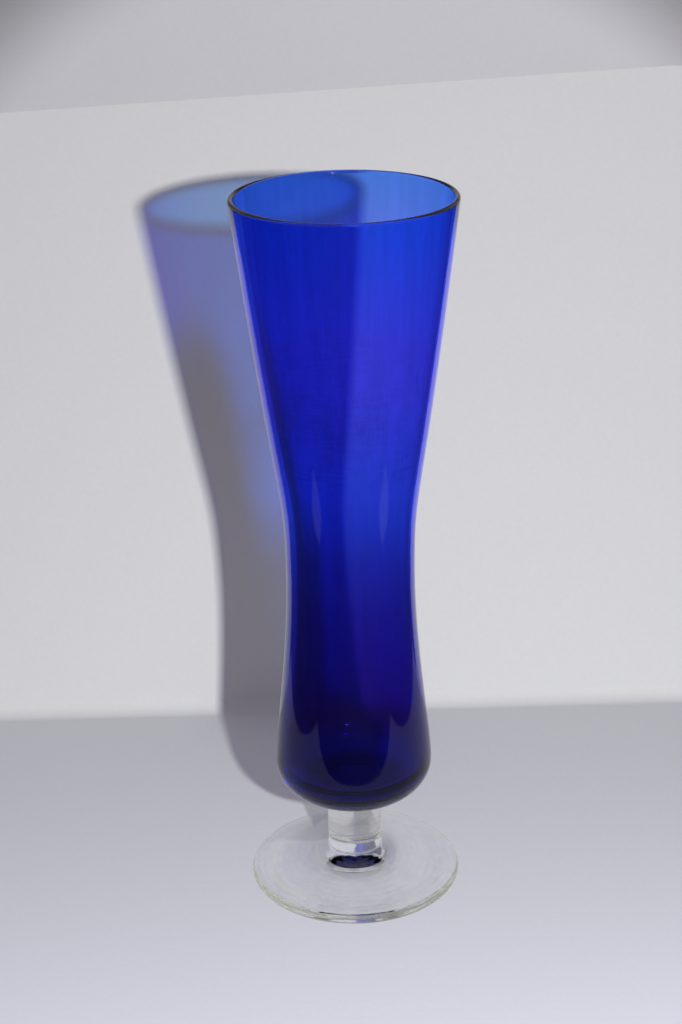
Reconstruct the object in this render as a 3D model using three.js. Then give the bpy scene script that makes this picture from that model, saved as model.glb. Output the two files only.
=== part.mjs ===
// A footed bud vase made from three gathers of glass: a cobalt-blue hourglass bowl, a clear stem and a clear foot.
// Millimetres, +Z up. The origin is the middle of the ring that the vase stands on.
import * as THREE from "three";

// Foot: a disc with a full-round edge, crowned towards a low conical collar that carries the stem.
const FOOT_RADIUS = 30.7;
const FOOT_EDGE_THICKNESS = 3.2;
const COLLAR_RADIUS = 12.6;
const COLLAR_HEIGHT = 7.65;
const HUB_TOP = 9.5;
const REST_RING_WIDTH = 5;
const UNDERSIDE_HOLLOW = 2;
const HOLLOW_FLAT_RADIUS = 9.5;

// Slopes of the foot's top: at its edge, where the collar starts, and where it meets the stem.
const EDGE_SLOPE = 0.1;
const COLLAR_SLOPE = 0.3;
const HUB_SLOPE = 0.45;

// Stem: a solid round rod that spreads a little where it is fused to the bowl.
const STEM_RADIUS = 7.9;
const STEM_LENGTH = 18;
const STEM_SPREAD = 0.7;
const STEM_SPREAD_HEIGHT = 1.2;

// Bowl, outside. Rises are heights above the bowl's underside.
const BOWL_HEIGHT = 177.5;
const MOUTH_RADIUS = 30.7;
const WAIST_RADIUS = 18.2;
const WAIST_RISE = 69.7;
const BELLY_RADIUS = 22.7;
const BELLY_RISE = 11.2;
const SEAT_MARGIN = 0.4;

// Bowl, inside. The wall thickens from the mouth to the belly, over a heavy base.
const WALL_AT_MOUTH = 1.6;
const WALL_AT_WAIST = 1.7;
const WALL_AT_BELLY = 2.2;
const BASE_THICKNESS = 9;
const CAVITY_FLAT_RADIUS = 5;
const CAVITY_CORNER_HEIGHT = 6.5;

// How far a curve follows its end's direction, as a share of the stretch that it spans.
const PULL_UNDER_BELLY = 0.58;
const PULL_INTO_BELLY = 0.56;
const PULL_OVER_BELLY = 0.13;
const PULL_BELOW_WAIST = 0.39;
const PULL_ABOVE_WAIST = 0.264;
const PULL_BELOW_MOUTH = 0.874;
const PULL_CAVITY_FLOOR = 0.58;
const PULL_CAVITY_CORNER = 0.7;
const MOUTH_SLOPE = 0.121;

// Facets of the turned solids.
const TURN_STEPS = 64;
const CORNER_STEPS = 6;
const SWELL_STEPS = 9;
const FLARE_STEPS = 12;
const LIP_STEPS = 6;
const SPREAD_STEPS = 5;
const CROWN_STEPS = 5;
const COLLAR_STEPS = 3;
const HOLLOW_STEPS = 5;

const BOWL_BOTTOM = HUB_TOP + STEM_LENGTH;
const BOWL_TOP = BOWL_BOTTOM + BOWL_HEIGHT;
const STEM_SEAT_RADIUS = STEM_RADIUS + STEM_SPREAD;

const point = (radius, height) => new THREE.Vector2(radius, height);

// A curve between two points of an outline. Each end has a direction and the distance it is followed for.
function sweep(start, startPull, end, endPull) {
  return new THREE.CubicBezierCurve(start, start.clone().add(startPull), end.clone().add(endPull), end);
}

function arc(centre, radius, fromDegrees, toDegrees) {
  const [from, to] = [fromDegrees, toDegrees].map(THREE.MathUtils.degToRad);
  return new THREE.EllipseCurve(centre.x, centre.y, radius, radius, from, to, to < from, 0);
}

// An outline from corner points and from curves, each curve given with its number of steps.
function outline(...stretches) {
  const points = [];
  for (const stretch of stretches) {
    const next = stretch.isVector2 ? [stretch] : stretch[0].getPoints(stretch[1]);
    for (const p of next) {
      if (!points.length || points.at(-1).distanceTo(p) > 1e-6) points.push(p);
    }
  }
  return points;
}

function turned(name, points, glass) {
  const geometry = new THREE.LatheGeometry(points, TURN_STEPS);
  geometry.rotateX(Math.PI / 2);
  const mesh = new THREE.Mesh(geometry, glass);
  mesh.name = name;
  return mesh;
}

const cobaltGlass = new THREE.MeshStandardMaterial({
  color: 0x1c22a0,
  roughness: 0.04,
  metalness: 0,
  transparent: true,
  opacity: 0.75,
});
const clearGlass = new THREE.MeshStandardMaterial({
  color: 0xe9ece6,
  roughness: 0.04,
  metalness: 0,
  transparent: true,
  opacity: 0.3,
});

// The foot stands on a flat ring near its edge; inside that ring the underside is hollowed, and flat in the middle.
function makeFoot() {
  const edgeRadius = FOOT_EDGE_THICKNESS / 2;
  const ringOuter = FOOT_RADIUS - edgeRadius;
  const ringInner = ringOuter - REST_RING_WIDTH;
  const hollowEdge = point(HOLLOW_FLAT_RADIUS, UNDERSIDE_HOLLOW);
  const hollowPull = (ringInner - hollowEdge.x) / 3;
  const hollow = sweep(hollowEdge, point(hollowPull, 0), point(ringInner, 0), point(-hollowPull, 0));
  const edge = arc(point(ringOuter, edgeRadius), edgeRadius, -90, 90);
  const edgeTop = point(ringOuter, FOOT_EDGE_THICKNESS);
  const collarStart = point(COLLAR_RADIUS, COLLAR_HEIGHT);
  const crownPull = (edgeTop.x - collarStart.x) / 3;
  const crown = sweep(
    edgeTop,
    point(-crownPull, crownPull * EDGE_SLOPE),
    collarStart,
    point(crownPull, -crownPull * COLLAR_SLOPE),
  );
  const hub = point(STEM_RADIUS, HUB_TOP);
  const collarPull = (collarStart.x - hub.x) / 3;
  const collar = sweep(
    collarStart,
    point(-collarPull, collarPull * COLLAR_SLOPE),
    hub,
    point(collarPull, -collarPull * HUB_SLOPE),
  );
  return turned(
    "foot",
    outline(
      point(0, UNDERSIDE_HOLLOW),
      [hollow, HOLLOW_STEPS],
      [edge, LIP_STEPS],
      [crown, CROWN_STEPS],
      [collar, COLLAR_STEPS],
      point(0, HUB_TOP),
    ),
    clearGlass,
  );
}

// The stem sits face to face on the hub and under the bowl.
function makeStem() {
  const spreadStart = point(STEM_RADIUS, BOWL_BOTTOM - STEM_SPREAD_HEIGHT);
  const spreadEnd = point(STEM_SEAT_RADIUS, BOWL_BOTTOM);
  const spread = new THREE.QuadraticBezierCurve(
    spreadStart,
    point(STEM_RADIUS, BOWL_BOTTOM - STEM_SPREAD_HEIGHT / 3),
    spreadEnd,
  );
  return turned(
    "stem",
    outline(point(0, HUB_TOP), point(STEM_RADIUS, HUB_TOP), [spread, SPREAD_STEPS], point(0, BOWL_BOTTOM)),
    clearGlass,
  );
}

function makeBowl() {
  const seatEdge = point(STEM_SEAT_RADIUS + SEAT_MARGIN, BOWL_BOTTOM);
  const belly = point(BELLY_RADIUS, BOWL_BOTTOM + BELLY_RISE);
  const waist = point(WAIST_RADIUS, BOWL_BOTTOM + WAIST_RISE);
  const lipRadius = WALL_AT_MOUTH / 2;
  const mouth = point(MOUTH_RADIUS, BOWL_TOP - lipRadius);
  const swellSpan = waist.y - belly.y;
  const flareSpan = mouth.y - waist.y;
  const flarePull = PULL_BELOW_MOUTH * flareSpan;
  const mouthPull = point(-MOUTH_SLOPE * flarePull, -flarePull);

  const corner = sweep(
    seatEdge,
    point(PULL_UNDER_BELLY * (belly.x - seatEdge.x), 0),
    belly,
    point(0, -PULL_INTO_BELLY * BELLY_RISE),
  );
  const swell = sweep(belly, point(0, PULL_OVER_BELLY * swellSpan), waist, point(0, -PULL_BELOW_WAIST * swellSpan));
  const flare = sweep(waist, point(0, PULL_ABOVE_WAIST * flareSpan), mouth, mouthPull);
  const lip = arc(point(mouth.x - lipRadius, mouth.y), lipRadius, 0, 180);

  const innerMouth = point(mouth.x - WALL_AT_MOUTH, mouth.y);
  const innerWaist = point(waist.x - WALL_AT_WAIST, waist.y);
  const floorHeight = BOWL_BOTTOM + BASE_THICKNESS;
  const innerBelly = point(belly.x - WALL_AT_BELLY, floorHeight + CAVITY_CORNER_HEIGHT);
  const floorEdge = point(CAVITY_FLAT_RADIUS, floorHeight);
  const innerSwellSpan = innerWaist.y - innerBelly.y;
  const innerFlare = sweep(innerMouth, mouthPull, innerWaist, point(0, PULL_ABOVE_WAIST * flareSpan));
  const innerSwell = sweep(
    innerWaist,
    point(0, -PULL_BELOW_WAIST * swellSpan),
    innerBelly,
    point(0, PULL_OVER_BELLY * innerSwellSpan),
  );
  const innerCorner = sweep(
    innerBelly,
    point(0, -PULL_CAVITY_CORNER * CAVITY_CORNER_HEIGHT),
    floorEdge,
    point(PULL_CAVITY_FLOOR * (innerBelly.x - floorEdge.x), 0),
  );
  return turned(
    "bowl",
    outline(
      point(0, BOWL_BOTTOM),
      [corner, CORNER_STEPS],
      [swell, SWELL_STEPS],
      [flare, FLARE_STEPS],
      [lip, LIP_STEPS],
      [innerFlare, FLARE_STEPS],
      [innerSwell, SWELL_STEPS],
      [innerCorner, CORNER_STEPS],
      point(0, floorHeight),
    ),
    cobaltGlass,
  );
}

const vase = new THREE.Group();
vase.add(makeFoot(), makeStem(), makeBowl());

export default vase;
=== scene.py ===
import math

import bmesh
import bpy
from bpy.props import FloatProperty, FloatVectorProperty, IntProperty, PointerProperty
from mathutils import Matrix, Vector


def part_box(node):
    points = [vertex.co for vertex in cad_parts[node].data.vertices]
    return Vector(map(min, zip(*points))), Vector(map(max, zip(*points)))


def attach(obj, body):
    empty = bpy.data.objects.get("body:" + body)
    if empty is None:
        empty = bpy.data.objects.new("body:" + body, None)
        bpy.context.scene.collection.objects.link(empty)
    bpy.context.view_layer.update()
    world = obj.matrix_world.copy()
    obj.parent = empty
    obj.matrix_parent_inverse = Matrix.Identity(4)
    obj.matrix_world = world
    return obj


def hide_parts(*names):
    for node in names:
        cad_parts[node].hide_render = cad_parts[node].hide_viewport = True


bl_info = {
    "name": "Footed Glass Vase",
    "version": (2, 0, 0),
    "blender": (4, 5, 0),
    "location": "View3D > Sidebar > Vase",
    "description": "Turns a cobalt-blue bowl on a clear stem and foot, and sets it on pale paper",
    "category": "Object",
}

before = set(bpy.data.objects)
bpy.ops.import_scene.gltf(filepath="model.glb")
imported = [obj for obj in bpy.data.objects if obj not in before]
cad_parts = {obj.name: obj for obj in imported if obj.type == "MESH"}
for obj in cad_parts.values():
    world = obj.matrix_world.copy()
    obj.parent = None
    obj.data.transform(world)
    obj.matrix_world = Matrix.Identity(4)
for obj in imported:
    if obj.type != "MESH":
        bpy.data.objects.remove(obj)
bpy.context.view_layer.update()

MM = 0.001
BOWL_LOW, BOWL_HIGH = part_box("bowl")
STEM_LOW, STEM_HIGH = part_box("stem")
FOOT_LOW, FOOT_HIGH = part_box("foot")

# The bowl rests on the stem with a hair of air between, so that the two glasses keep their own surfaces.
FUSE_GAP = 0.02 * MM

# The paper lies just under the foot's ring, so that no two faces share a plane.
PAPER_LEVEL, FLOOR_LEVEL = -0.1 * MM, -0.14 * MM
TABLE_LEVEL = -0.8 * MM

WHITE = (1, 1, 1)


def length(name, description, default):
    return FloatProperty(
        name=name, description=description, default=default, subtype="DISTANCE", unit="LENGTH"
    )


def angle(name, description, degrees):
    return FloatProperty(
        name=name, description=description, default=math.radians(degrees), unit="ROTATION"
    )


def number(name, description, default):
    return FloatProperty(name=name, description=description, default=default)


def colour(name, description, default):
    return FloatVectorProperty(
        name=name, description=description, default=default, size=3, subtype="COLOR", min=0, max=1
    )


class BowlShape(bpy.types.PropertyGroup):
    """Outline of the blown bowl. Rises are heights over its underside."""

    mouth_radius: length("Mouth Radius", "Outer radius of the lip", BOWL_HIGH.x)
    waist_radius: length("Waist Radius", "Outer radius at the narrowest place", 18.2 * MM)
    waist_rise: length("Waist Rise", "Height of the waist", 69.7 * MM)
    belly_radius: length("Belly Radius", "Outer radius at the widest place low down", 22.7 * MM)
    belly_rise: length("Belly Rise", "Height of the belly", 11.2 * MM)
    wall_at_mouth: length("Wall at Mouth", "Glass at the lip", 1.6 * MM)
    wall_at_waist: length("Wall at Waist", "Glass at the waist", 1.7 * MM)
    wall_at_belly: length("Wall at Belly", "Glass at the belly", 2.2 * MM)
    base_thickness: length("Base Thickness", "Glass under the cavity's floor", 5 * MM)
    floor_radius: length("Floor Radius", "Flat middle of the cavity's floor", 2 * MM)
    floor_corner: length("Floor Corner", "Height of the corner over the cavity's floor", 8 * MM)


class PedestalShape(bpy.types.PropertyGroup):
    """Outline of the clear stem and foot."""

    edge_thickness: length("Edge Thickness", "Thickness of the foot's full-round edge", 3.2 * MM)
    ring_width: length("Ring Width", "Flat ring that the foot stands on", 5 * MM)
    hollow_depth: length("Hollow Depth", "Height of the hollow inside the ring", 2 * MM)
    hollow_flat: length("Hollow Flat", "Radius of the hollow's flat middle", 7.6 * MM)
    collar_radius: length("Collar Radius", "Where the foot starts to rise to the stem", 12.6 * MM)
    collar_height: length("Collar Height", "Height of the foot at that radius", 7.65 * MM)
    hub_height: length("Hub Height", "Height at which the foot meets the stem", 9.5 * MM)
    stem_spread: length("Stem Spread", "How much the stem widens under the bowl", 0.7 * MM)
    spread_height: length("Spread Height", "Height over which it widens", 1.2 * MM)


class Facets(bpy.types.PropertyGroup):
    """How finely the pieces are turned."""

    turn_steps: IntProperty(
        name="Turn Steps", description="Facets round the axis", default=192, min=24, max=256
    )
    curve_steps: IntProperty(
        name="Curve Steps", description="Rings on each stretch of a profile", default=20, min=4
    )


class GlassLooks(bpy.types.PropertyGroup):
    """Colours of the two glasses."""

    index: number("Index", "Index of refraction of both glasses", 1.5)
    lip: colour("Lip", "Blue of the wall at the lip", (0.30, 0.58, 1.0))
    flare: colour("Flare", "Blue of the wall half way up the flare", (0.80, 0.48, 1.0))
    neck: colour("Neck", "Blue of the wall over the waist", (0.46, 0.50, 0.92))
    waist: colour("Waist", "Blue of the wall under the waist", (0.36, 0.24, 0.60))
    swell: colour("Swell", "Blue of the wall between waist and belly", (0.38, 0.12, 0.52))
    base: colour("Base", "Blue of the wall round the base", (0.50, 0.12, 0.34))
    heel: colour("Heel", "Blue of the wall under the belly", (0.50, 0.20, 0.60))
    seat: colour("Seat", "Blue of the face that is fused to the stem", (0.25, 0.08, 0.25))
    cobalt: colour("Cobalt", "What a stretch of blue glass leaves of each colour", (0.0, 0.41, 0.975))
    cobalt_density: number("Cobalt Density", "Absorption per metre of blue glass", 640)
    clear: colour("Clear", "What a stretch of clear glass leaves of each colour", (0.62, 0.64, 0.30))
    clear_density: number("Clear Density", "Absorption per metre of clear glass", 7)


class StageSettings(bpy.types.PropertyGroup):
    """Camera, paper and light."""

    camera_distance: length("Camera Distance", "From the vase's axis, along the floor", 526.85 * MM)
    camera_height: length("Camera Height", "Above the floor", 331.5 * MM)
    camera_tilt: angle("Camera Tilt", "Downwards from level", 22.3)
    camera_turn: angle("Camera Turn", "Towards the left", 0.25)
    camera_roll: angle("Camera Roll", "Lean to the right", 1.14)
    lens: number("Lens", "Focal length for a 36 mm long side", 71.9)
    wall_distance: length("Wall Distance", "From the axis to the foot of the backdrop", 103.5 * MM)
    paper_turn: angle("Paper Turn", "The paper's turn about the vertical", 1.2)
    wall_lean: number("Wall Lean", "How far the backdrop leans back as it rises", 0.3)
    sheet_height: length("Sheet Height", "Top of the paper backdrop", 202 * MM)
    # Floor paper tones are painted shade: darker from the front edge towards the fold, where the light
    # falls off.
    paper_front: colour("Paper Front", "Floor paper at its front edge", (0.72, 0.755, 0.81))
    paper_fold: colour("Paper Fold", "Floor paper where it meets the backdrop", (0.56, 0.575, 0.585))
    # Backdrop paper tones are painted shade: darker towards the top, where the light falls off.
    backdrop_foot: colour("Backdrop Foot", "Backdrop paper low down", (0.59, 0.60, 0.605))
    backdrop_top: colour("Backdrop Top", "Backdrop paper at its top edge", (0.575, 0.58, 0.59))
    rear_wall: colour("Rear Wall", "What stands behind the backdrop", (0.535, 0.535, 0.56))
    table: colour("Table", "Grey table under the paper", (0.10, 0.10, 0.105))
    surroundings: colour("Surroundings", "Pale room that camera and glass see", (0.62, 0.62, 0.66))
    ambient: colour("Ambient", "Soft light from all round", (0.83, 0.745, 0.90))
    ambient_strength: number("Ambient Strength", "Level of the soft light", 0.143)
    overhead_strength: number("Overhead Strength", "The soft light from above", 0.50)
    key_watts: number("Key Power", "Small soft box beside the camera", 5.35)


def deselect_all():
    if bpy.context.mode != "OBJECT":
        bpy.ops.object.mode_set(mode="OBJECT")
    bpy.ops.object.select_all(action="DESELECT")


def vase_profile(name, stretches, steps):
    """Draws half a section as one Bezier curve, then makes it an edge chain.

    Each stretch is (start, start pull, end pull, end), in radius and height.
    It returns the active mesh object.
    """
    deselect_all()
    bpy.ops.curve.primitive_bezier_curve_add(location=(0, 0, 0))
    drawn = bpy.context.object
    drawn.name = name
    spline = drawn.data.splines[0]
    spline.bezier_points.add(len(stretches) + 1 - len(spline.bezier_points))
    spline.resolution_u = steps
    corners = [s[0] for s in stretches] + [stretches[-1][3]]
    for bezier_point, corner in zip(spline.bezier_points, corners):
        bezier_point.handle_left_type = bezier_point.handle_right_type = "FREE"
        place = Vector((corner[0], 0, corner[1]))
        bezier_point.co = bezier_point.handle_left = bezier_point.handle_right = place
    for index, (start, start_pull, end_pull, end) in enumerate(stretches):
        leaving, arriving = spline.bezier_points[index], spline.bezier_points[index + 1]
        leaving.handle_right = Vector((start[0] + start_pull[0], 0, start[1] + start_pull[1]))
        arriving.handle_left = Vector((end[0] + end_pull[0], 0, end[1] + end_pull[1]))
    bpy.ops.object.convert(target="MESH")
    return bpy.context.object


def turn(piece, steps):
    """Spins the edge chain round the axis, closes what is open and points all faces outwards."""
    bpy.ops.object.mode_set(mode="EDIT")
    bpy.ops.mesh.select_all(action="SELECT")
    bpy.ops.mesh.spin(steps=steps, angle=2 * math.pi, center=(0, 0, 0), axis=(0, 0, 1))
    bpy.ops.mesh.select_all(action="SELECT")
    bpy.ops.mesh.remove_doubles(threshold=0.001 * MM)
    bpy.ops.mesh.select_all(action="DESELECT")
    bpy.ops.mesh.select_mode(type="EDGE")
    bpy.ops.mesh.select_non_manifold(
        extend=False, use_wire=False, use_multi_face=False, use_non_contiguous=False
    )
    bpy.ops.mesh.edge_face_add()
    bpy.ops.mesh.select_mode(type="FACE")
    bpy.ops.mesh.select_all(action="DESELECT")
    bpy.ops.mesh.select_face_by_sides(number=4, type="GREATER", extend=False)
    bpy.ops.mesh.poke()
    bpy.ops.mesh.select_all(action="SELECT")
    bpy.ops.mesh.normals_make_consistent(inside=False)
    bpy.ops.object.mode_set(mode="OBJECT")
    bpy.ops.object.shade_smooth()
    return piece


# Share of a radius that a Bezier handle takes to draw a quarter circle.
QUARTER_PULL = 0.5523


def straight(start, end):
    """A straight stretch of a profile."""
    third = ((end[0] - start[0]) / 3, (end[1] - start[1]) / 3)
    return start, third, (-third[0], -third[1]), end


def quarter(centre, radius, from_degrees):
    """A quarter circle of a profile, turning anticlockwise, as one stretch."""
    pull = QUARTER_PULL * radius
    a, b = math.radians(from_degrees), math.radians(from_degrees + 90)
    start = (centre[0] + radius * math.cos(a), centre[1] + radius * math.sin(a))
    end = (centre[0] + radius * math.cos(b), centre[1] + radius * math.sin(b))
    start_pull = (-pull * math.sin(a), pull * math.cos(a))
    end_pull = (pull * math.sin(b), -pull * math.cos(b))
    return start, start_pull, end_pull, end


# How far a curve of the bowl follows its end's direction, as a share of the stretch that it spans.
PULL_UNDER_BELLY, PULL_INTO_BELLY, PULL_OVER_BELLY = 0.58, 0.56, 0.13
PULL_BELOW_WAIST, PULL_ABOVE_WAIST, PULL_BELOW_MOUTH = 0.39, 0.264, 0.874
PULL_CAVITY_CORNER, PULL_CAVITY_FLOOR = 0.7, 0.58
MOUTH_SLOPE = 0.121

# How far the bowl's flat seat reaches past the stem.
SEAT_MARGIN = 0.4 * MM


def bowl_stretches(bowl):
    bottom = BOWL_LOW.z
    seat_edge = (STEM_HIGH.x + SEAT_MARGIN, bottom)
    belly = (bowl.belly_radius, bottom + bowl.belly_rise)
    waist = (bowl.waist_radius, bottom + bowl.waist_rise)
    lip = bowl.wall_at_mouth / 2
    mouth = (bowl.mouth_radius, BOWL_HIGH.z - lip)
    lip_centre = (mouth[0] - lip, mouth[1])
    swell_span = waist[1] - belly[1]
    flare_span = mouth[1] - waist[1]

    floor = bottom + bowl.base_thickness
    floor_edge = (bowl.floor_radius, floor)
    inner_mouth = (mouth[0] - bowl.wall_at_mouth, mouth[1])
    inner_waist = (waist[0] - bowl.wall_at_waist, waist[1])
    inner_belly = (belly[0] - bowl.wall_at_belly, floor + bowl.floor_corner)
    inner_swell_span = inner_waist[1] - inner_belly[1]

    seat_pull = (PULL_UNDER_BELLY * (belly[0] - seat_edge[0]), 0)
    below_waist = (0, -PULL_BELOW_WAIST * swell_span)
    above_waist = (0, PULL_ABOVE_WAIST * flare_span)
    below_mouth = (-MOUTH_SLOPE * PULL_BELOW_MOUTH * flare_span, -PULL_BELOW_MOUTH * flare_span)
    floor_pull = (PULL_CAVITY_FLOOR * (inner_belly[0] - floor_edge[0]), 0)
    return [
        (seat_edge, seat_pull, (0, -PULL_INTO_BELLY * bowl.belly_rise), belly),
        (belly, (0, PULL_OVER_BELLY * swell_span), below_waist, waist),
        (waist, above_waist, below_mouth, mouth),
        quarter(lip_centre, lip, 0),
        quarter(lip_centre, lip, 90),
        (inner_mouth, below_mouth, above_waist, inner_waist),
        (inner_waist, below_waist, (0, PULL_OVER_BELLY * inner_swell_span), inner_belly),
        (inner_belly, (0, -PULL_CAVITY_CORNER * bowl.floor_corner), floor_pull, floor_edge),
    ]


# Slopes of the foot's top: at its round edge, where the collar starts, and where it meets the stem.
EDGE_SLOPE, COLLAR_SLOPE, HUB_SLOPE = 0.1, 0.3, 0.45

# Direction in which the stem's spread runs down from the bowl.
SPREAD_PULL = (-0.1 * MM, -0.2 * MM)


def pedestal_stretches(pedestal):
    edge = pedestal.edge_thickness / 2
    ring_outer = FOOT_HIGH.x - edge
    ring_inner = ring_outer - pedestal.ring_width
    stem_radius = STEM_HIGH.x - pedestal.stem_spread
    top = STEM_HIGH.z - FUSE_GAP
    flat_edge = (pedestal.hollow_flat, pedestal.hollow_depth)
    hollow_pull = (ring_inner - flat_edge[0]) / 3
    edge_top = (ring_outer, pedestal.edge_thickness)
    collar = (pedestal.collar_radius, pedestal.collar_height)
    crown = (ring_outer - collar[0]) / 3
    hub = (stem_radius, pedestal.hub_height)
    cove = (collar[0] - hub[0]) / 3
    spread_start = (stem_radius, top - pedestal.spread_height)
    return [
        straight((0, pedestal.hollow_depth), flat_edge),
        (flat_edge, (hollow_pull, 0), (-hollow_pull, 0), (ring_inner, 0)),
        straight((ring_inner, 0), (ring_outer, 0)),
        quarter((ring_outer, edge), edge, -90),
        quarter((ring_outer, edge), edge, 0),
        (edge_top, (-crown, crown * EDGE_SLOPE), (crown, -crown * COLLAR_SLOPE), collar),
        (collar, (-cove, cove * COLLAR_SLOPE), (cove, -cove * HUB_SLOPE), hub),
        straight(hub, spread_start),
        (spread_start, (0, pedestal.spread_height / 2), SPREAD_PULL, (STEM_HIGH.x, top)),
    ]


def add_node(tree, kind, inputs=None, **settings):
    """Adds a shader node, sets it up, and fills its sockets with values or links."""
    node = tree.nodes.new(kind)
    for name, value in settings.items():
        setattr(node, name, value)
    for name, value in (inputs or {}).items():
        if isinstance(value, bpy.types.NodeSocket):
            tree.links.new(value, node.inputs[name])
        else:
            node.inputs[name].default_value = value
    return node


def own_place(tree):
    """The piece's own coordinates."""
    return add_node(tree, "ShaderNodeTexCoord").outputs["Object"]


def along_axis(tree, place, axis):
    return add_node(tree, "ShaderNodeSeparateXYZ", {"Vector": place}).outputs[axis]


def stretched(tree, place, scale):
    return add_node(tree, "ShaderNodeMapping", {"Vector": place, "Scale": scale}).outputs["Vector"]


def noise(tree, place, scale, detail):
    inputs = {"Vector": place, "Scale": scale, "Detail": detail}
    return add_node(tree, "ShaderNodeTexNoise", inputs).outputs["Fac"]


def remapped(tree, value, given, wanted=(0.0, 1.0), smooth=False):
    """Turns the given span of a value into the wanted one. Past its ends the value stays the same."""
    (low, high), (start, end) = given, wanted
    inputs = {"Value": value, "From Min": low, "From Max": high, "To Min": start, "To Max": end}
    kind = "SMOOTHSTEP" if smooth else "LINEAR"
    return add_node(tree, "ShaderNodeMapRange", inputs, interpolation_type=kind).outputs["Result"]


def left_by(tree, share):
    """What is left of the light when a share of it is held back."""
    return remapped(tree, share, (0.0, 1.0), (1.0, 0.0))


def product(tree, *factors):
    result, *others = factors
    for factor in others:
        multiplied = add_node(tree, "ShaderNodeMath", {0: result, 1: factor}, operation="MULTIPLY")
        result = multiplied.outputs["Value"]
    return result


def combined(tree, operation, first, second):
    """Two colours or places, worked on part by part."""
    node = add_node(tree, "ShaderNodeVectorMath", {0: first, 1: second}, operation=operation)
    return node.outputs["Vector"]


def scaled(tree, shade, factor):
    node = add_node(tree, "ShaderNodeVectorMath", {0: shade, "Scale": factor}, operation="SCALE")
    return node.outputs["Vector"]


def colour_ramp(tree, share, shades):
    """A ramp through shades, given as (share, colour) from low to high."""
    ramp = add_node(tree, "ShaderNodeValToRGB", {"Fac": share})
    stops = ramp.color_ramp.elements
    for place, _ in shades[1:-1]:
        stops.new(place)
    for stop, (place, shade) in zip(stops, shades):
        stop.position = place
        stop.color = (*shade, 1)
    return ramp.outputs["Color"]


# Values of the noise between which a streak or a smudge comes up.
STREAK_SPAN, SMUDGE_SPAN = (0.4, 0.6), (0.5, 0.72)


def make_glass_marks():
    """Group for both glasses: streaks drawn out by the blowing, and smudges left by hands and water."""
    group = bpy.data.node_groups.new("glass_marks", "ShaderNodeTree")
    for name in ("Streak Place", "Smudge Place"):
        group.interface.new_socket(name, in_out="INPUT", socket_type="NodeSocketVector")
    for name in ("Streak Depth", "Smudge Depth"):
        group.interface.new_socket(name, in_out="INPUT", socket_type="NodeSocketFloat")
    for name in ("Streak", "Smudge", "Ripple"):
        group.interface.new_socket(name, in_out="OUTPUT", socket_type="NodeSocketFloat")
    given = group.nodes.new("NodeGroupInput").outputs
    ripple = noise(group, given["Streak Place"], 1, 2)
    darkest = add_node(group, "ShaderNodeMath", {0: 1.0, 1: given["Streak Depth"]}, operation="SUBTRACT")
    streak = remapped(group, ripple, STREAK_SPAN, (darkest.outputs["Value"], 1.0))
    blots = noise(group, given["Smudge Place"], 1, 4)
    smudge = remapped(group, blots, SMUDGE_SPAN, (0.0, given["Smudge Depth"]))
    put_out = group.nodes.new("NodeGroupOutput").inputs
    for name, mark in (("Streak", streak), ("Smudge", smudge), ("Ripple", ripple)):
        group.links.new(mark, put_out[name])
    return group


def place_marks(tree, place, streak_scale, smudge_scale, streak_depth, smudge_depth):
    group = bpy.data.node_groups.get("glass_marks") or make_glass_marks()
    inputs = {
        "Streak Place": stretched(tree, place, streak_scale),
        "Smudge Place": stretched(tree, place, smudge_scale),
        "Streak Depth": streak_depth,
        "Smudge Depth": smudge_depth,
    }
    return add_node(tree, "ShaderNodeGroup", inputs, node_tree=group).outputs


def glass_material(name, looks, taken_up, density, gloss_tint):
    """Glass that absorbs light on the way through. It returns the material and its shader."""
    material = bpy.data.materials.new(name)
    material.use_nodes = True
    tree = material.node_tree
    shader, output = tree.nodes["Principled BSDF"], tree.nodes["Material Output"]
    shader.inputs["IOR"].default_value = looks.index
    shader.inputs["Transmission Weight"].default_value = 1.0
    shader.inputs["Specular Tint"].default_value = (*gloss_tint, 1)
    body = add_node(tree, "ShaderNodeVolumeAbsorption", {"Color": (*taken_up, 1), "Density": density})
    tree.links.new(body.outputs["Volume"], output.inputs["Volume"])
    return material, shader


def cast_tinted_shadow(tree, tint):
    """Light from a lamp passes straight on through the glass, dimmed at each face by the tint."""
    shadow_ray = add_node(tree, "ShaderNodeLightPath").outputs["Is Shadow Ray"]
    passed = add_node(tree, "ShaderNodeBsdfTransparent", {"Color": tint}).outputs["BSDF"]
    glass = tree.nodes["Principled BSDF"].outputs["BSDF"]
    mix = add_node(tree, "ShaderNodeMixShader", {"Fac": shadow_ray, 1: glass, 2: passed})
    tree.links.new(mix.outputs["Shader"], tree.nodes["Material Output"].inputs["Surface"])


def add_bump(tree, shader, strength, depth, relief):
    inputs = {"Strength": strength, "Distance": depth, "Height": relief}
    bump = add_node(tree, "ShaderNodeBump", inputs)
    tree.links.new(bump.outputs["Normal"], shader.inputs["Normal"])


# Heights of the colours of the blue wall, from the base to the flare.
SEAT_LEVEL, HEEL_LEVEL, BASE_LEVEL, SWELL_LEVEL = 27.8 * MM, 30 * MM, 40 * MM, 64 * MM
WAIST_LEVEL, NECK_LEVEL, FLARE_LEVEL = 92 * MM, 118 * MM, 158 * MM

# The blue wall mirrors less than the clear glass does.
COBALT_GLOSS = (0.38, 0.38, 0.44)

# Marks on the blue wall: per metre on each axis, and how deep they are. The streaks run up the wall.
COBALT_STREAKS, COBALT_SMUDGES = (420, 420, 3), (60, 60, 25)
COBALT_STREAK_DEPTH, COBALT_SMUDGE_DEPTH = 0.07, 0.1
RIPPLE_STRENGTH, RIPPLE_DEPTH = 0.3, 0.01 * MM

# Heights between which water has dried on the wall, and the share of the light that the film holds back.
FILM_LOW, FILM_HIGH, FILM_FADE = 134 * MM, 156 * MM, 8 * MM
FILM_DEPTH, FILM_SHADE = 0.24, 0.25

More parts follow.
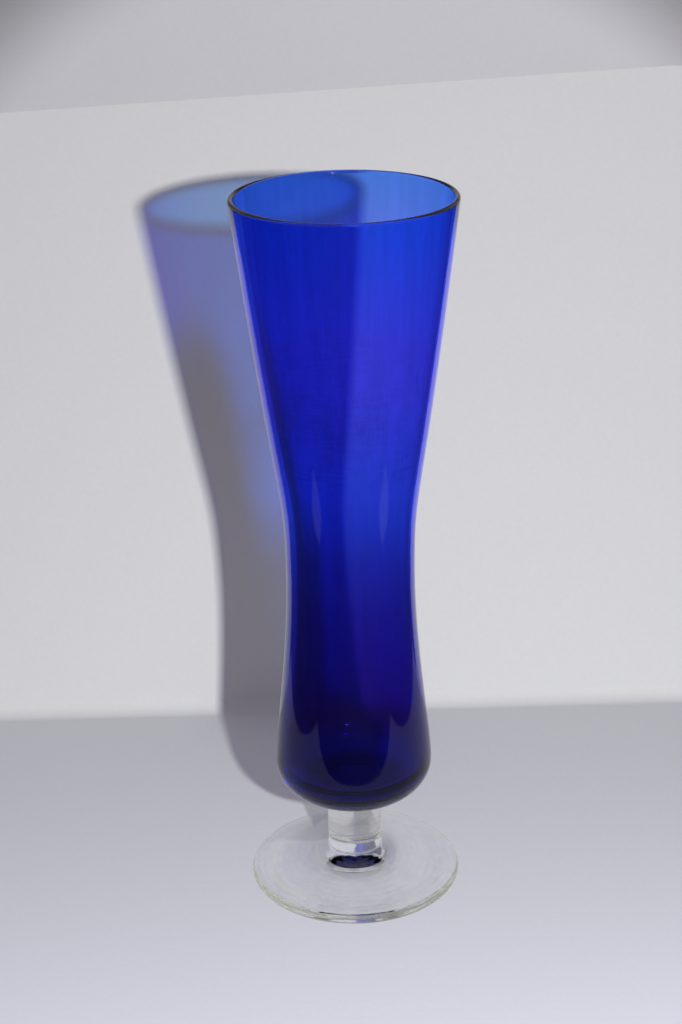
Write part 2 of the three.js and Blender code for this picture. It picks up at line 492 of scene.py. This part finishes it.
# The film is blots crossed with upright and level lines: each a scale, and the values where it comes up.
FILM_BLOTS = ((45, 45, 45), (0.35, 0.6))
FILM_UPRIGHT_LINES = ((1500, 1500, 150), (0.3, 0.6))
FILM_LEVEL_LINES = ((150, 150, 1500), (0.3, 0.6))

# Lamp light that passes one face of the wall straight on. Low down the bowl gathers paler light.
SHADOW_BLUE, SHADOW_PALE = (0.55, 0.80, 0.93), (0.88, 0.90, 0.95)
PALE_LEVEL, BLUE_LEVEL = 72 * MM, 95 * MM

# Between these heights, sides and slants to the light, the wall starts to throw that share of it aside.
ASIDE_LEVEL, STRAIGHT_LEVEL = 150 * MM, 178 * MM
CLEAR_SIDE, HAZY_SIDE = 5 * MM, 1 * MM
FACE_ON, FACE_ASIDE = 0.08, 0.28
ASIDE_SHARE = 0.65

# The clear side still shares in what happens on the hazy one by this much.
CLEAR_SIDE_SHARE = 0.05

# The lower wall also takes up light on the side where it is thicker.
DEEP_LEVEL, THIN_LEVEL = 92 * MM, 112 * MM
DEEP_SHADE = 0.5

# Little light passes the heavy base.
CLOSED_LEVEL, OPEN_LEVEL = 38 * MM, 50 * MM
BASE_SHADE = 0.6

# The thick lip holds back that much at its top, and the flare a little.
LIP_LEVEL, LIP_SHADE = 202 * MM, 0.8
FLARE_SHADE = 0.085

# Attribute that tells the bowl's outer face, where the blue is taken up, from its cavity's face.
OUTSIDE = "outside"


def mark_outside(piece, floor):
    """Marks each vertex with 1 on the outer face and 0 in the cavity."""
    marks = []
    for vertex in piece.data.vertices:
        away = vertex.normal.x * vertex.co.x + vertex.normal.y * vertex.co.y
        marks.append(1.0 if away > 0 or vertex.co.z < floor else 0.0)
    piece.data.attributes.new(OUTSIDE, "FLOAT", "POINT").data.foreach_set("value", marks)


def dried_film(tree, place, height):
    """Blotches of dried water, woven from fine upright and level lines, in a belt round the flare."""
    from_below = remapped(tree, height, (FILM_LOW - FILM_FADE, FILM_LOW), smooth=True)
    from_above = remapped(tree, height, (FILM_HIGH + FILM_FADE, FILM_HIGH), smooth=True)
    film = product(tree, from_below, from_above)
    for scale, span in (FILM_BLOTS, FILM_UPRIGHT_LINES, FILM_LEVEL_LINES):
        patches = noise(tree, stretched(tree, place, scale), 1, 3)
        film = product(tree, film, remapped(tree, patches, span))
    return film


def wall_blue(tree, looks, share):
    """The wall's blue by height. The outer face takes up both faces' part, and the cavity's none."""
    levels = (SEAT_LEVEL, HEEL_LEVEL, BASE_LEVEL, SWELL_LEVEL, WAIST_LEVEL, NECK_LEVEL, FLARE_LEVEL)
    shades = (looks.seat, looks.heel, looks.base, looks.swell, looks.waist, looks.neck, looks.flare)
    stops = [(level / BOWL_HIGH.z, shade) for level, shade in zip(levels, shades)]
    blue = colour_ramp(tree, share, [*stops, (1.0, looks.lip)])
    both_faces = combined(tree, "MULTIPLY", blue, blue)
    taken_up = combined(tree, "SUBTRACT", both_faces, WHITE)
    outside = add_node(tree, "ShaderNodeAttribute", attribute_name=OUTSIDE).outputs["Fac"]
    return combined(tree, "ADD", scaled(tree, taken_up, outside), WHITE)


def wall_shadow(tree, place, height, share, film):
    """What one face of the wall lets through of a lamp's light."""
    sideways = along_axis(tree, place, "X")
    hazy_side = remapped(tree, sideways, (CLEAR_SIDE, HAZY_SIDE), (CLEAR_SIDE_SHARE, 1.0))
    low_down = remapped(tree, height, (STRAIGHT_LEVEL, ASIDE_LEVEL), smooth=True)
    slant = add_node(tree, "ShaderNodeLayerWeight", {"Blend": 0.5}).outputs["Facing"]
    bent = remapped(tree, slant, (FACE_ON, FACE_ASIDE), (0.0, ASIDE_SHARE))
    aside = product(tree, hazy_side, low_down, bent)
    deep = remapped(tree, height, (THIN_LEVEL, DEEP_LEVEL), (0.0, DEEP_SHADE))
    in_deep_side = product(tree, hazy_side, deep)
    in_base = remapped(tree, height, (OPEN_LEVEL, CLOSED_LEVEL), (0.0, BASE_SHADE), smooth=True)
    in_lip = remapped(tree, height, (LIP_LEVEL, BOWL_HIGH.z), (0.0, LIP_SHADE))
    in_flare = remapped(tree, low_down, (0.0, 1.0), (FLARE_SHADE, 0.0))
    in_film = product(tree, film, FILM_SHADE)
    pale_to_blue = [(PALE_LEVEL / BOWL_HIGH.z, SHADOW_PALE), (BLUE_LEVEL / BOWL_HIGH.z, SHADOW_BLUE)]
    passed = colour_ramp(tree, share, pale_to_blue)
    for shade in (aside, in_deep_side, in_base, in_lip, in_flare, in_film):
        passed = scaled(tree, passed, left_by(tree, shade))
    return passed


def cobalt_material(looks):
    """Blue glass, deeper towards the base where the wall is thicker, with streaks and dried water."""
    material, shader = glass_material(
        "cobalt_glass", looks, looks.cobalt, looks.cobalt_density, COBALT_GLOSS
    )
    tree = material.node_tree
    place = own_place(tree)
    height = along_axis(tree, place, "Z")
    share = remapped(tree, height, (0.0, BOWL_HIGH.z))
    marks = place_marks(
        tree, place, COBALT_STREAKS, COBALT_SMUDGES, COBALT_STREAK_DEPTH, COBALT_SMUDGE_DEPTH
    )
    film = dried_film(tree, place, height)
    streaked = scaled(tree, wall_blue(tree, looks, share), marks["Streak"])
    unfilmed = remapped(tree, film, (0.0, 1.0), (1.0, 1.0 - FILM_DEPTH))
    tree.links.new(scaled(tree, streaked, unfilmed), shader.inputs["Base Color"])
    tree.links.new(marks["Smudge"], shader.inputs["Roughness"])
    add_bump(tree, shader, RIPPLE_STRENGTH, RIPPLE_DEPTH, marks["Ripple"])
    cast_tinted_shadow(tree, wall_shadow(tree, place, height, share, film))
    return material


# The round stem bends light aside, so it passes only that share. It starts between these heights.
FOOT_LEVEL, STEM_LEVEL = 5 * MM, 10 * MM
STEM_PASSES = 0.6

# Round the hub the glass is darkened as painted shade, and the rings left by turning are greyer.
HUB_RADIUS, HUB_REACH, HUB_PAINTED_SHADE = 9 * MM, 15 * MM, 0.8
RING_SHADE = 0.965

# The rings: how close they lie and how uneven they run, and how deep they are.
RINGS = {"Scale": 150, "Distortion": 2, "Detail": 1, "Detail Scale": 0.5}
RING_STRENGTH, RING_DEPTH = 0.5, 0.03 * MM

# Marks on the clear glass: per metre on each axis, and how deep they are.
CLEAR_STREAKS, CLEAR_SMUDGES = (260, 260, 260), (80, 80, 80)
CLEAR_STREAK_DEPTH, CLEAR_SMUDGE_DEPTH = 0.06, 0.05


def clear_material(looks):
    """Clear glass with a faint yellow cast, the faint rings that turning leaves on the foot, and painted
    shade round the hub.
    """
    material, shader = glass_material("clear_glass", looks, looks.clear, looks.clear_density, WHITE)
    tree = material.node_tree
    place = own_place(tree)
    height = along_axis(tree, place, "Z")
    marks = place_marks(
        tree, place, CLEAR_STREAKS, CLEAR_SMUDGES, CLEAR_STREAK_DEPTH, CLEAR_SMUDGE_DEPTH
    )
    rings = add_node(
        tree, "ShaderNodeTexWave", {"Vector": place, **RINGS}, wave_type="RINGS", rings_direction="Z"
    ).outputs["Fac"]
    flat = combined(tree, "MULTIPLY", place, (1, 1, 0))
    radius = add_node(tree, "ShaderNodeVectorMath", {0: flat}, operation="LENGTH").outputs["Value"]
    # Painted shade: the glass darkens towards the hub, round the collar.
    hub = remapped(tree, radius, (HUB_REACH, HUB_RADIUS), (1.0, HUB_PAINTED_SHADE), smooth=True)
    ringed = remapped(tree, rings, (0.0, 1.0), (RING_SHADE, 1.0))
    in_foot = remapped(tree, height, (STEM_LEVEL, STEM_LEVEL - 1 * MM))
    painted_hub_shade_and_rings = product(tree, left_by(tree, product(tree, hub, ringed)), in_foot)
    streaked = scaled(tree, WHITE, marks["Streak"])
    tree.links.new(scaled(tree, streaked, left_by(tree, painted_hub_shade_and_rings)), shader.inputs["Base Color"])
    tree.links.new(marks["Smudge"], shader.inputs["Roughness"])
    add_bump(tree, shader, RING_STRENGTH, RING_DEPTH, rings)
    cast_tinted_shadow(tree, remapped(tree, height, (FOOT_LEVEL, STEM_LEVEL), (1.0, STEM_PASSES)))
    return material


class VASE_OT_bowl(bpy.types.Operator):
    """Turn the blue bowl from its profile"""

    bl_idname = "vase.make_bowl"
    bl_label = "Make Bowl"

    def execute(self, context):
        bowl, facets = context.scene.vase_bowl, context.scene.vase_facets
        drawn = vase_profile("blown_bowl", bowl_stretches(bowl), facets.curve_steps)
        piece = turn(drawn, facets.turn_steps)
        piece.visible_diffuse = False
        mark_outside(piece, BOWL_LOW.z + bowl.base_thickness / 2)
        piece.data.materials.append(cobalt_material(context.scene.vase_looks))
        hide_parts("bowl")
        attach(piece, "root")
        return {"FINISHED"}


class VASE_OT_pedestal(bpy.types.Operator):
    """Turn the clear stem and foot from their profile, as one fused piece of glass"""

    bl_idname = "vase.make_pedestal"
    bl_label = "Make Stem and Foot"

    def execute(self, context):
        pedestal, facets = context.scene.vase_pedestal, context.scene.vase_facets
        drawn = vase_profile("stem_and_foot", pedestal_stretches(pedestal), facets.curve_steps)
        piece = turn(drawn, facets.turn_steps)
        piece.visible_diffuse = False
        piece.data.materials.append(clear_material(context.scene.vase_looks))
        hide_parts("stem", "foot")
        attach(piece, "root")
        return {"FINISHED"}


# The photograph shows a strong blue stronger than it is. So what stands behind the vase is that much
# bluer through glass.
BLUE_LIFT = (0, 0, 0.18)

# The paper's fibres, per metre, and how far they vary its tone.
FIBRE_SCALE, FIBRE_TONES = 700, (0.97, 1.03)


def paper_material(name, tones, axis="Y", span=(0, 1), backdrop=False):
    """Matt paper with a faint fibre grain. Its tones, each with its share of the span, follow one axis.

    A backdrop vanishes from behind, so that it hides nothing from the other sides.
    """
    material = bpy.data.materials.new(name)
    material.use_nodes = True
    tree = material.node_tree
    shader, output = tree.nodes["Principled BSDF"], tree.nodes["Material Output"]
    shader.inputs["Roughness"].default_value = 0.9
    shader.inputs["Specular IOR Level"].default_value = 0.1
    place = own_place(tree)
    share = remapped(tree, along_axis(tree, place, axis), span)
    grain = remapped(tree, noise(tree, place, FIBRE_SCALE, 3), (0.0, 1.0), FIBRE_TONES)
    tone = scaled(tree, colour_ramp(tree, share, tones), grain)
    if backdrop:
        through_glass = add_node(tree, "ShaderNodeLightPath").outputs["Is Transmission Ray"]
        lift = combined(tree, "MULTIPLY", tone, scaled(tree, BLUE_LIFT, through_glass))
        tone = combined(tree, "ADD", tone, lift)
        behind = add_node(tree, "ShaderNodeNewGeometry").outputs["Backfacing"]
        clear = add_node(tree, "ShaderNodeBsdfTransparent").outputs["BSDF"]
        mix = add_node(tree, "ShaderNodeMixShader", {"Fac": behind, 1: shader.outputs["BSDF"], 2: clear})
        tree.links.new(mix.outputs["Shader"], output.inputs["Surface"])
    tree.links.new(tone, shader.inputs["Base Color"])
    return material


def shade_far_parts(material, middle, near, far, depth):
    """Lets the tone of a material fall off with the distance from a point."""
    tree = material.node_tree
    shader = tree.nodes["Principled BSDF"]
    tone = shader.inputs["Base Color"].links[0].from_socket
    inputs = {0: own_place(tree), 1: middle}
    away = add_node(tree, "ShaderNodeVectorMath", inputs, operation="DISTANCE").outputs["Value"]
    shade = remapped(tree, away, (near, far), (1.0, 1.0 - depth), smooth=True)
    tree.links.new(scaled(tree, tone, shade), shader.inputs["Base Color"])


def lay_sheet(name, low, high, material, turned=0):
    """A flat sheet between two corners, turned about its middle. A rising one faces the camera."""
    deselect_all()
    middle = [(a + b) / 2 for a, b in zip(low, high)]
    width, depth, rise = (b - a for a, b in zip(low, high))
    tilt = math.atan2(rise, depth)
    bpy.ops.mesh.primitive_plane_add(size=1, location=middle, rotation=(tilt, 0, turned))
    piece = bpy.context.object
    piece.name = name
    piece.scale = (width, math.hypot(depth, rise), 1)
    bpy.ops.object.transform_apply(location=True, rotation=True, scale=True)
    piece.data.materials.append(material)
    return piece


def fold_foot(sheet, reach, radius, steps):
    """Lets a rising sheet run out over the floor at its foot, and rounds the fold."""
    bpy.ops.object.mode_set(mode="EDIT")
    bpy.ops.mesh.select_mode(type="EDGE")
    bpy.ops.mesh.select_all(action="DESELECT")
    drawn = bmesh.from_edit_mesh(sheet.data)
    foot = min(drawn.edges, key=lambda edge: sum(corner.co.z for corner in edge.verts))
    foot.select_set(True)
    bmesh.update_edit_mesh(sheet.data)
    bpy.ops.mesh.extrude_edges_move(TRANSFORM_OT_translate={"value": (0, -reach, 0)})
    bpy.ops.mesh.select_all(action="DESELECT")
    drawn = bmesh.from_edit_mesh(sheet.data)
    fold = next(edge for edge in drawn.edges if len(edge.link_faces) == 2)
    fold.select_set(True)
    bmesh.update_edit_mesh(sheet.data)
    bpy.ops.mesh.bevel(offset=radius, segments=steps)
    bpy.ops.mesh.select_all(action="SELECT")
    bpy.ops.mesh.faces_shade_smooth()
    bpy.ops.object.mode_set(mode="OBJECT")


def slant_top(sheet, slope, lean):
    """Lets the top edge of a leaning sheet climb towards the right."""
    top = max(corner.co.z for corner in sheet.data.vertices)
    for corner in sheet.data.vertices:
        if corner.co.z > top / 2:
            climb = slope * corner.co.x
            corner.co += Vector((0, lean * climb, climb))


def soft_box(name, place, target, size, watts):
    data = bpy.data.lights.new(name, "AREA")
    data.shape = "RECTANGLE"
    data.size, data.size_y = size
    data.energy = watts
    lamp = bpy.data.objects.new(name, data)
    bpy.context.scene.collection.objects.link(lamp)
    lamp.location = place
    lamp.rotation_euler = (Vector(place) - Vector(target)).to_track_quat("Z", "Y").to_euler()
    return lamp


def build_world(scene, stage):
    """The camera and the glass see a pale room. A softer, dimmer light from all round lights everything."""
    scene.world = bpy.data.worlds.new("studio")
    scene.world.use_nodes = True
    tree = scene.world.node_tree
    path = add_node(tree, "ShaderNodeLightPath").outputs
    seen = path["Is Camera Ray"]
    for ray in ("Is Glossy Ray", "Is Transmission Ray"):
        seen = add_node(tree, "ShaderNodeMath", {0: seen, 1: path[ray]}, operation="MAXIMUM").outputs[0]
    direction = add_node(tree, "ShaderNodeTexCoord").outputs["Generated"]
    upward = along_axis(tree, direction, "Z")
    strength = remapped(tree, upward, (0.0, 1.0), (stage.ambient_strength, stage.overhead_strength))
    ambient = add_node(tree, "ShaderNodeBackground", {"Color": (*stage.ambient, 1), "Strength": strength})
    room = add_node(tree, "ShaderNodeBackground", {"Color": (*stage.surroundings, 1), "Strength": 1.0})
    mix = add_node(tree, "ShaderNodeMixShader", {"Fac": seen, 1: ambient.outputs[0], 2: room.outputs[0]})
    tree.links.new(mix.outputs["Shader"], tree.nodes["World Output"].inputs["Surface"])


def place_camera(scene, stage):
    data = bpy.data.cameras.new("camera")
    data.lens = stage.lens
    data.sensor_width = 36
    data.clip_start = 10 * MM
    camera = bpy.data.objects.new("camera", data)
    scene.collection.objects.link(camera)
    place = Matrix.Translation((0, -stage.camera_distance, stage.camera_height))
    turned = Matrix.Rotation(stage.camera_turn, 4, "Z")
    tilted = Matrix.Rotation(math.pi / 2 - stage.camera_tilt, 4, "X")
    rolled = Matrix.Rotation(-stage.camera_roll, 4, "Z")
    camera.matrix_world = place @ turned @ tilted @ rolled
    scene.camera = camera


# Edges of the sheets. The bowl mirrors the paper's front corners, so their places are the photograph's.
PAPER_LEFT, PAPER_RIGHT, PAPER_FRONT = -170 * MM, 175 * MM, -120 * MM
BACKDROP_LEFT, BACKDROP_RIGHT = -150 * MM, 137 * MM
REAR_WALL_GAP, REAR_WALL_TOP = 4 * MM, 400 * MM
TABLE_REACH = 2.5

# The backdrop's top edge climbs to the right. Its foot is folded onto the floor, with a tone of its own
# after the floor's darker fold tone, which is painted shade at the crease.
TOP_SLOPE = 0.045
FOLD_REACH, FOLD_RADIUS, FOLD_STEPS, FOLD_SHARE = 5 * MM, 4 * MM, 10, 0.012

# The wall behind the sheet falls into shade this far from a point behind the vase.
CORNER_HEIGHT, CORNER_START, CORNER_END, CORNER_SHADE = 90 * MM, 150 * MM, 190 * MM, 0.55

# The lamp stands beside the camera and is small, so that the shadow on the backdrop has firm edges.
KEY_PLACE = (127 * MM, -632 * MM, 358 * MM)
KEY_TARGET = (0, 0, 100 * MM)
KEY_SIZE = (20 * MM, 15 * MM)

# Light that is guided round the foot's edge bounces many times inside the glass.
TOTAL_BOUNCES, INNER_BOUNCES = 32, 24


def lay_floor(stage):
    # Painted shade: the tone darkens from the front edge towards the fold.
    tones = ((0, stage.paper_front), (1, stage.paper_fold))
    paper = paper_material("floor_paper", tones, "Y", (PAPER_FRONT, stage.wall_distance))
    low = (PAPER_LEFT, PAPER_FRONT, FLOOR_LEVEL)
    high = (PAPER_RIGHT, stage.wall_distance, FLOOR_LEVEL)
    lay_sheet("paper_floor", low, high, paper, stage.paper_turn)


def lay_backdrop(stage):
    """The leaning sheet behind the vase, folded out over the floor, and the wall that shows over it."""
    wall = stage.wall_distance
    top = (wall + stage.wall_lean * stage.sheet_height, stage.sheet_height)
    # Painted shade: the tone starts at the floor's darker fold tone at the crease and darkens towards the
    # top.
    rising = ((0, stage.paper_fold), (FOLD_SHARE, stage.backdrop_foot), (1, stage.backdrop_top))
    paper = paper_material("backdrop_paper", rising, "Z", (PAPER_LEVEL, stage.sheet_height), True)
    low, high = (BACKDROP_LEFT, wall, PAPER_LEVEL), (BACKDROP_RIGHT, *top)
    sheet = lay_sheet("paper_backdrop", low, high, paper, stage.paper_turn)
    slant_top(sheet, TOP_SLOPE, stage.wall_lean)
    fold_foot(sheet, FOLD_REACH, FOLD_RADIUS, FOLD_STEPS)

    rear = top[0] + REAR_WALL_GAP
    paint = paper_material("rear_wall", ((0, stage.rear_wall), (1, stage.rear_wall)), backdrop=True)
    shade_far_parts(paint, (0, rear, CORNER_HEIGHT), CORNER_START, CORNER_END, CORNER_SHADE)
    low, high = (BACKDROP_LEFT, rear, PAPER_LEVEL), (BACKDROP_RIGHT, rear, REAR_WALL_TOP)
    lay_sheet("rear_wall", low, high, paint)


def lay_table(stage):
    top = paper_material("table_top", ((0, stage.table), (1, stage.table)))
    low, high = (-TABLE_REACH, -TABLE_REACH, TABLE_LEVEL), (TABLE_REACH, TABLE_REACH, TABLE_LEVEL)
    lay_sheet("table", low, high, top)


class VASE_OT_stage(bpy.types.Operator):
    """Lay the paper floor and backdrop, and set the camera and light"""

    bl_idname = "vase.dress_stage"
    bl_label = "Dress Stage"

    def execute(self, context):
        scene = context.scene
        stage = scene.vase_stage
        lay_floor(stage)
        lay_backdrop(stage)
        lay_table(stage)
        place_camera(scene, stage)
        soft_box("key_light", KEY_PLACE, KEY_TARGET, KEY_SIZE, stage.key_watts)
        build_world(scene, stage)
        scene.cycles.max_bounces = scene.cycles.transmission_bounces = TOTAL_BOUNCES
        scene.cycles.glossy_bounces = scene.cycles.transparent_max_bounces = INNER_BOUNCES
        scene.view_settings.view_transform = "Standard"
        return {"FINISHED"}


class VASE_PT_panel(bpy.types.Panel):
    """Lists the steps and their settings"""

    bl_label = "Footed Glass Vase"
    bl_idname = "VASE_PT_panel"
    bl_space_type = "VIEW_3D"
    bl_region_type = "UI"
    bl_category = "Vase"

    def draw(self, context):
        for step in STEPS:
            self.layout.operator(step.bl_idname)
        for name in SETTINGS:
            group = getattr(context.scene, name)
            for setting in group.bl_rna.properties.keys():
                if setting not in ("rna_type", "name"):
                    self.layout.prop(group, setting)


STEPS = (VASE_OT_bowl, VASE_OT_pedestal, VASE_OT_stage)
SETTINGS = {
    "vase_bowl": BowlShape,
    "vase_pedestal": PedestalShape,
    "vase_facets": Facets,
    "vase_looks": GlassLooks,
    "vase_stage": StageSettings,
}


def register():
    for cls in (*SETTINGS.values(), *STEPS, VASE_PT_panel):
        bpy.utils.register_class(cls)
    for name, group in SETTINGS.items():
        setattr(bpy.types.Scene, name, PointerProperty(type=group))


def unregister():
    for name in SETTINGS:
        delattr(bpy.types.Scene, name)
    for cls in (VASE_PT_panel, *reversed(STEPS), *reversed(SETTINGS.values())):
        bpy.utils.unregister_class(cls)


def main():
    register()
    bpy.ops.vase.make_bowl()
    bpy.ops.vase.make_pedestal()
    bpy.ops.vase.dress_stage()


if __name__ == "__main__":
    main()
